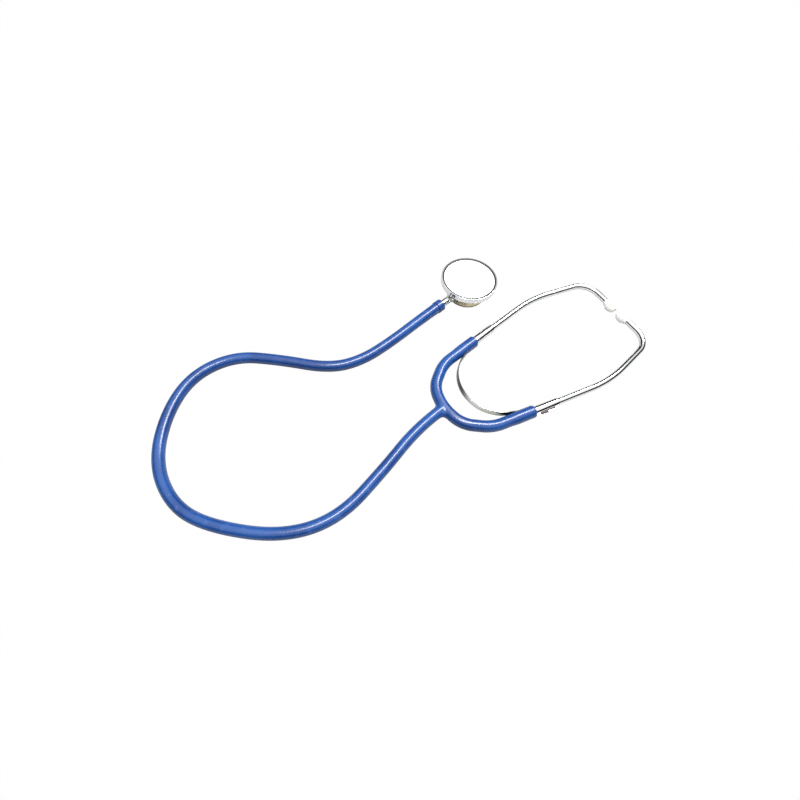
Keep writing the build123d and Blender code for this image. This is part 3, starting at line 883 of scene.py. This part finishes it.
def make_ear_tip(name, side, material):
    """A soft mushroom with a small mouth, turned about the end of its tube."""
    origin = in_headset((TIP_BEND[0], TUBE_END_Y), side)
    front = TIP_START + TIP_LENGTH
    skirt = [
        (TIP_START + 3.0, TIP_BORE, 0),
        (TIP_START, TIP_BORE, 0),
        (TIP_START, 0.62 * TIP_RADIUS, 0.5),
        (TIP_START + 2.6, 0.80 * TIP_RADIUS, 2.0),
        (TIP_START + 4.4, TIP_RADIUS, 1.2),
    ]
    dome = [
        (front - TIP_DOME * (1 - sin(angle)), TIP_CROWN + (TIP_RADIUS - TIP_CROWN) * cos(angle), 0)
        for angle in np.linspace(0.05, pi / 2, 14)
    ]
    mouth = [
        (front, TIP_MOUTH, 0.3),
        (front - 4.0, TIP_MOUTH, 0),
    ]
    profile = rounded_profile(skirt + dome + mouth)
    return lathe(name, origin, (0, -side, 0), profile, material, sides=96, closed=True)


def tube_frame(distance, side):
    """Axes at a point of the ear tube's straight: along it, outwards from the middle, and up."""
    start = in_headset(along_tube(distance), side)
    along = (in_headset(along_tube(distance + 1), side) - start).normalized()
    up = Vector((0, 0, 1))
    out = along.cross(up) * -side
    return start, along, out, up


def flat_plate(name, outline, levels, place, finish):
    """A plate with this outline between two levels, its edges eased."""
    points = [place(reach, rise, level) for level in levels for reach, rise in outline]
    count = len(outline)
    faces = [tuple(range(count)), tuple(range(count, 2 * count))]
    for number in range(count):
        beyond = (number + 1) % count
        faces.append((number, beyond, count + beyond, count + number))
    plate = mesh_piece(name, points, faces, finish)
    bevel = plate.modifiers.new("eased", "BEVEL")
    bevel.width = 0.12 * MM
    bevel.segments = 3
    return plate


def make_clip(name, side, material, inside):
    """Sheet rolled round the tube, its edges pinched into a fin, with a dark plate of painted shade in the
    gap near the sleeve.

    Both clips are the same bent part, so on the left it is turned over and its pocket of painted shade faces
    down.
    """
    start, along, out, up = tube_frame(SLEEVE_REACH + CLIP_GAP, side)

    def place(reach, rise, level):
        """A point along the tube, out from it and up, in the shared frame."""
        return start + (along * reach + out * rise - up * level * side) * MM

    wall = TUBE_RADIUS + CLIP_SHEET
    corners = [
        (0, TUBE_RADIUS + PLAY, 0),
        (0, wall, 0.3),
        (CLIP_LENGTH, wall, 0.3),
        (CLIP_LENGTH, TUBE_RADIUS + PLAY, 0),
    ]
    rolled = lathe(name, start, along, rounded_profile(corners), material, sides=96, closed=True)
    root = [
        (0.1, wall - 0.5),
        (CLIP_LENGTH - 0.1, wall - 0.5),
        (CLIP_LENGTH - 0.1, wall - 0.2),
        (CLIP_LENGTH - CLIP_SHOULDER, CLIP_FIN),
    ]
    corner = [
        (CLIP_CORNER, CLIP_FIN),
        (0.1, CLIP_FIN - CLIP_CORNER),
    ]
    window = [
        (CLIP_WINDOW[1], CLIP_FIN),
        (CLIP_WINDOW[1] - 1.0, wall + 0.1),
        (CLIP_WINDOW[0] + 0.8, wall + 0.1),
        (CLIP_WINDOW[0], CLIP_FIN),
    ]
    # The gap and the pocket are dark plates of painted shade: one in the slit between the edges, one in the
    # upper edge's window
    gap = [
        (0.3, wall - 0.4),
        (CLIP_LENGTH - 3.2, wall - 0.4),
        (CLIP_LENGTH - 3.2, CLIP_FIN - 0.25),
        (1.4, CLIP_FIN - 0.55),
    ]
    pocket = [
        (CLIP_WINDOW[0] + 0.2, wall - 0.5),
        (CLIP_LENGTH - 4.0, wall - 0.5),
        (CLIP_LENGTH - 4.4, CLIP_FIN - 0.3),
        (CLIP_WINDOW[0] + 0.8, CLIP_FIN - 0.5),
    ]
    slit = 0.5 * CLIP_SLOT
    return [
        rolled,
        flat_plate(name + "_lower_edge", root + corner, (-CLIP_FIN_HALF, -slit), place, material),
        flat_plate(name + "_upper_edge", root + window + corner, (slit, CLIP_FIN_HALF), place, material),
        flat_plate(name + "_gap", gap, (-slit, slit), place, inside),
        flat_plate(name + "_pocket", pocket, (0.0, CLIP_FIN_HALF + 0.06), place, inside),
    ]


# The fork of the hose

def rounded_line(corners, radii, steps=16):
    """Points along a bent line in the headset's plane, with an arc in each corner."""
    line = [Vector(corners[0])]
    for before, corner, after, radius in zip(corners, corners[1:], corners[2:], radii):
        corner = Vector(corner)
        back = (Vector(before) - corner).normalized()
        ahead = (Vector(after) - corner).normalized()
        half = back.angle(ahead) / 2
        centre = corner + (back + ahead).normalized() * radius / sin(half)
        start = corner + back * radius / sin(half) * cos(half)
        end = corner + ahead * radius / sin(half) * cos(half)
        first = atan2(start.y - centre.y, start.x - centre.x)
        turn = atan2(end.y - centre.y, end.x - centre.x) - first
        turn = (turn + pi) % (2 * pi) - pi
        for step in range(steps + 1):
            angle = first + turn * step / steps
            line.append(centre + Vector((cos(angle), sin(angle))) * radius)
    line.append(Vector(corners[-1]))
    return line


class Track:
    """A line in the headset's plane that is read by distance along it."""

    def __init__(self, line):
        self.points = np.array([tuple(point) for point in line])
        runs = np.linalg.norm(np.diff(self.points, axis=0), axis=1)
        self.marks = np.concatenate([[0.0], np.cumsum(runs)])
        self.length = self.marks[-1]

    def at(self, distance):
        """The point at this distance along the line."""
        return np.array([np.interp(distance, self.marks, self.points[:, axis]) for axis in (0, 1)])

    def way(self, distance):
        """The line's direction there, one long."""
        step = self.at(distance + 0.4) - self.at(distance - 0.4)
        return step / np.linalg.norm(step)


def fork_arm_line():
    """The centre line of both arms, from the left sleeve's end round the crown to the right one's."""
    half = [along_tube(SLEEVE_REACH), SLEEVE_BEND, SHOULDER]
    corners = half + [CROWN] + [on_side(point, -1) for point in reversed(half)]
    return rounded_line(corners, [SLEEVE_ARC, SHOULDER_ARC, CROWN_ARC, SHOULDER_ARC, SLEEVE_ARC])


def distance_to_line(places, line):
    """How far each place, in millimetres, is from a bent line in the headset's plane."""
    starts = np.array([(*point, 0.0) for point in line[:-1]])
    runs = np.array([(*point, 0.0) for point in line[1:]]) - starts
    best = np.full(len(places), 1e9)
    for start, run in zip(starts, runs):
        share = np.clip((places - start) @ run / (run @ run + 1e-12), 0, 1)
        gap = np.linalg.norm(places - start - share[:, None] * run, axis=1)
        best = np.minimum(best, gap)
    return best


def slopes(distance, places):
    """The direction in which a distance grows fastest, at each place."""
    found = np.zeros_like(places)
    for axis in range(3):
        step = np.zeros(3)
        step[axis] = 0.02
        found[:, axis] = distance(places + step) - distance(places - step)
    return found / (np.linalg.norm(found, axis=1)[:, None] + 1e-12)


def fork_surface(places, arms, stub):
    """Distance from the fork's skin: two rods that melt together only where they meet at an angle."""
    arm_gap = distance_to_line(places, arms) - ARM_RADIUS
    stub_gap = distance_to_line(places, stub) - HOSE_RADIUS / MM
    arm_way = slopes(lambda at: distance_to_line(at, arms), places)
    stub_way = slopes(lambda at: distance_to_line(at, stub), places)
    melt = CROTCH_WEB * (1 - np.sum(arm_way * stub_way, axis=1)) / 2 + 1e-6
    closeness = np.maximum(melt - np.abs(arm_gap - stub_gap), 0) / melt
    return np.minimum(arm_gap, stub_gap) - closeness ** 2 * melt / 4


def rod_blank(rods):
    """Overlapping cylinders along each rod's line, for a remesh to fuse."""
    blank = bmesh.new()
    for line, radius in rods:
        stride = 6 if len(line) > 2 else 1
        for start, end in zip(line[::stride], line[stride::stride]):
            run = Vector((*(end - start), 0)) * MM
            turn = run.to_track_quat("Z", "Y").to_matrix().to_4x4()
            place = Matrix.Translation(HEADSET + Vector((*((start + end) / 2), 0)) * MM)
            bmesh.ops.create_cone(
                blank, cap_ends=True, segments=32, radius1=radius * MM, radius2=radius * MM,
                depth=run.length + 0.8 * MM, matrix=place @ turn,
            )
    mesh = bpy.data.meshes.new("fork_centre")
    blank.to_mesh(mesh)
    blank.free()
    return mesh


def fused_skin(mesh):
    """One even, smooth skin over everything in a mesh."""
    piece = link("fork_centre", mesh)
    remesh = piece.modifiers.new("skin", "REMESH")
    remesh.mode = "VOXEL"
    remesh.voxel_size = SKIN_GRAIN * MM
    smooth = piece.modifiers.new("calm", "SMOOTH")
    smooth.iterations = 6
    evaluated = piece.evaluated_get(bpy.context.evaluated_depsgraph_get())
    skin = bpy.data.meshes.new_from_object(evaluated)
    bpy.data.objects.remove(piece)
    return skin


def make_fork_centre(material):
    """The crown with the stub that the hose grows from, melted together in the crotches."""
    track = Track(fork_arm_line())
    middle = track.length / 2
    reach = CENTRE_HALF + ARM_SPARE
    arms = [Vector(track.at(middle + distance)) for distance in np.linspace(-reach, reach, 79)]
    stub = [Vector(stub_point(0)), Vector(stub_point(STUB_LENGTH + STUB_SPARE))]
    skin = fused_skin(rod_blank([(arms, ARM_RADIUS), (stub, HOSE_RADIUS / MM)]))

    def surface(at):
        """Distance from the finished skin of the crown and its stub."""
        return fork_surface(at, arms, stub)

    places = np.array([vertex.co for vertex in skin.vertices], float) / MM - np.array(HEADSET) / MM
    for _ in range(SKIN_PASSES):
        places = places - slopes(surface, places) * surface(places)[:, None]
    skin.vertices.foreach_set("co", ((places + np.array(HEADSET) / MM) * MM).astype(np.float32).ravel())
    skin.update()
    build = bmesh.new()
    build.from_mesh(skin)
    for sign in (-1, 1):
        distance = middle + sign * CENTRE_HALF
        cut_off(build, track.at(distance), track.way(distance) * sign)
    lean = radians(STUB_LEAN)
    cut_off(build, stub_point(STUB_LENGTH), (-cos(lean), -sin(lean)))
    bmesh.ops.recalc_face_normals(build, faces=build.faces)
    build.to_mesh(skin)
    build.free()
    skin.shade_smooth()
    skin.set_sharp_from_angle(angle=radians(60))
    skin.name = "fork_centre"
    return link("fork_centre", skin, material)


def cut_off(build, point, way):
    """Cuts a mesh square across a rod at a headset point, and closes it there."""
    place = in_headset(point)
    normal = Vector((way[0], way[1], 0))
    everything = build.verts[:] + build.edges[:] + build.faces[:]
    cut = bmesh.ops.bisect_plane(
        build, geom=everything, dist=1e-7, plane_co=place, plane_no=normal, clear_outer=True)
    edges = [item for item in cut["geom_cut"] if isinstance(item, bmesh.types.BMEdge)]
    bmesh.ops.edgeloop_fill(build, edges=edges)


def sleeve_radius(distance, length):
    """The arm's radius at a distance from the crown: a long ramp up to the sleeve."""
    ramp_start = length - SLEEVE_GRIP - SLEEVE_RAMP / 2
    share = min(max((distance - ramp_start) / SLEEVE_RAMP, 0), 1)
    return ARM_RADIUS + (SLEEVE_RADIUS - ARM_RADIUS) * share * share * (3 - 2 * share)


def make_fork_arm(name, side, material):
    """One arm of the fork and its sleeve, from the cut beside the crown to the rounded end."""
    track = Track(fork_arm_line())
    middle = track.length / 2
    rings = []
    end = middle - SLEEVE_ROUND
    for distance in np.linspace(CENTRE_HALF, end, 120):
        rings.append((distance, sleeve_radius(distance, middle)))
    for step in range(1, 8):
        angle = pi / 2 * step / 7
        rings.append((end + SLEEVE_ROUND * sin(angle), SLEEVE_RADIUS - SLEEVE_ROUND * (1 - cos(angle))))
    rings.append((middle, TUBE_RADIUS + 0.12))
    rings.append((middle - 0.6, TUBE_RADIUS + 0.04))
    sides = 64
    points = []
    faces = []
    for distance, radius in rings:
        spot = track.at(middle - distance)
        way = -track.way(middle - distance)
        out = np.array([-way[1], way[0]])
        for number in range(sides):
            angle = 2 * pi * number / sides
            flat = spot + out * radius * cos(angle)
            points.append(HEADSET + Vector((flat[0], flat[1] * side, radius * sin(angle))) * MM)
    for ring in range(len(rings) - 1):
        for number in range(sides):
            beyond = (number + 1) % sides
            here = ring * sides
            ahead = here + sides
            faces.append((here + number, here + beyond, ahead + beyond, ahead + number))
    faces.append(tuple(range(sides)))
    faces.append(tuple(range((len(rings) - 1) * sides, len(rings) * sides)))
    return mesh_piece(name, points, faces, material, sharp=60)


# The cord

def make_hose(material):
    """The hose along its laid route, a little wider where it is pushed over the stem."""
    line = bpy.data.curves.new("hose_tube", "CURVE")
    line.dimensions = "3D"
    spline = line.splines.new("NURBS")
    spline.points.add(len(HOSE_ROUTE) - 1)
    for point, place in zip(spline.points, HOSE_ROUTE):
        point.co = (*place, 1)
    spline.order_u = 3
    spline.use_endpoint_u = True
    spline.points[-1].radius = HOSE_MOUTH
    line.bevel_depth = HOSE_RADIUS
    line.bevel_resolution = 10
    line.resolution_u = 24
    line.use_fill_caps = True
    hose = bpy.data.objects.new("hose_tube", line)
    SCENE.collection.objects.link(hose)
    line.materials.append(material)
    return hose


def show(piece, body, slot, *replaced):
    """Says what a piece moves with and which nodes it stands for, which it hides; the slot is not used."""
    if body:
        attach(piece, body)
    if replaced:
        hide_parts(*replaced)
    return piece


make_camera()
light_the_world()

BLUE = blue_pvc()
CHROME = bright_chrome()
WARM = bright_chrome("warm_chrome", (224, 218, 198), 0.06)
REFLECTION_PAINTED_CHROME = chrome_painted_reflections()
FILM = white_film()
RUBBER = black_rubber()
STEEL = spring_steel()
BRASS = nickel_brass()
PLASTIC = white_plastic()
GAP_SHADE = painted_gap_shade()

# The hose, and the middle of its fork
hose = make_hose(BLUE)
show(hose, "hose_and_fork", "blue_pvc", "hose")
fork_centre = make_fork_centre(BLUE)
show(fork_centre, "hose_and_fork", "blue_pvc", "hose_fork")

# The two sides of the headset: the fork's arm and half the leaf spring stay unattached, the rest swings
tube_tree = bent_bar_tree(tubular=True)
strip_tree = bent_bar_tree(tubular=False)
for name, side in SIDES.items():
    body = name + "_ear_arm"
    arm = make_fork_arm("fork_arm_" + name, side, BLUE)
    in_headset((10, 14), side)
    in_headset((40, 35), side)
    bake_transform(arm)
    show(arm, None, "blue_pvc", "hose_fork")
    tube_line = [along_tube(SLEEVE_REACH - SLEEVE_GRIP), TUBE_BEND, TIP_BEND, (TIP_BEND[0], TUBE_END_Y)]
    tube = bent_bar("tube_" + name, tube_tree, tube_line, [TUBE_ARC, TIP_ARC], side, CHROME,
                    Spacing=0.8, Width=TUBE_RADIUS, Sides=64)
    show(tube, body, "bright_chrome", "ear_tube_" + name)
    offset = TUBE_RADIUS + TONGUE_PLAY + STRIP_THICKNESS / 2
    tongue_end = along_tube(SLEEVE_REACH + CLIP_GAP, offset)
    tongue_root = along_tube(SLEEVE_REACH - TONGUE_LENGTH, offset)
    shoulder = (tongue_root[0] - SPRING_SLOPE[0], tongue_root[1] - SPRING_SLOPE[1])
    strip_line = [tongue_end, tongue_root, shoulder, (shoulder[0], 0)]
    strip = bent_bar("spring_" + name, strip_tree, strip_line, [TONGUE_ARC, SPRING_ARC], side, REFLECTION_PAINTED_CHROME,
                     Spacing=0.6, Width=STRIP_HEIGHT, Height=STRIP_THICKNESS, Edge=0.25, Sides=4)
    in_headset((24.4, 8), side)
    in_headset((43, 29), side)
    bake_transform(strip)
    show(strip, None, "bright_chrome", "leaf_spring")
    for part in make_clip("clip_" + name, side, CHROME, GAP_SHADE):
        show(part, body, "bright_chrome", "spring_clip_" + name)
    tip = make_ear_tip("tip_" + name, side, PLASTIC)
    show(tip, name + "_tip", "white_plastic", "ear_tip_" + name)

# The chestpiece, and the stem that it turns on
show(make_head_body(WARM), "chestpiece", "bright_chrome", "head_body")
show(make_boss(CHROME), "chestpiece", "bright_chrome", "head_body")
show(make_diaphragm(FILM), "chestpiece", "white_film", "diaphragm")
show(make_ring(CHROME), "chestpiece", "bright_chrome", "diaphragm_ring")
# The black bead at the ring's lip is painted shade, in the rubber's finish
show(make_painted_shade_bead(RUBBER), "chestpiece", "black_rubber", "diaphragm_ring")
show(make_stem(CHROME), "hose_and_fork", "bright_chrome", "chest_stem")
show(make_washer(RUBBER), "hose_and_fork", "black_rubber", "stem_washer")
mouth = show(make_hose_mouth(BLUE), "hose_and_fork", "blue_pvc", "hose")

# Inner parts, shown as the solids that they are
carried_over = {
    "spindle_seal": RUBBER,
    "snap_ring": STEEL,
    "detent_ball": STEEL,
    "detent_spring": STEEL,
    "ear_nipple_left": BRASS,
    "ear_nipple_right": BRASS,
}
for node, material in carried_over.items():
    NODES[node].data.materials.clear()
    NODES[node].data.materials.append(material)

# The table and the lights
floor_mesh = bpy.data.meshes.new("table")
floor_corners = [(x * TABLE_HALF, y * TABLE_HALF, 0) for x, y in ((-1, -1), (1, -1), (1, 1), (-1, 1))]
floor_mesh.from_pydata(floor_corners, [], [(0, 1, 2, 3)])
floor = link("table", floor_mesh, table_white())
make_strip_lamp("lamp", LAMP_PLACE, LAMP_AIM, LAMP_WAY, LAMP_SIZE, LAMP_POWER)

SCENE.view_settings.view_transform = "Standard"
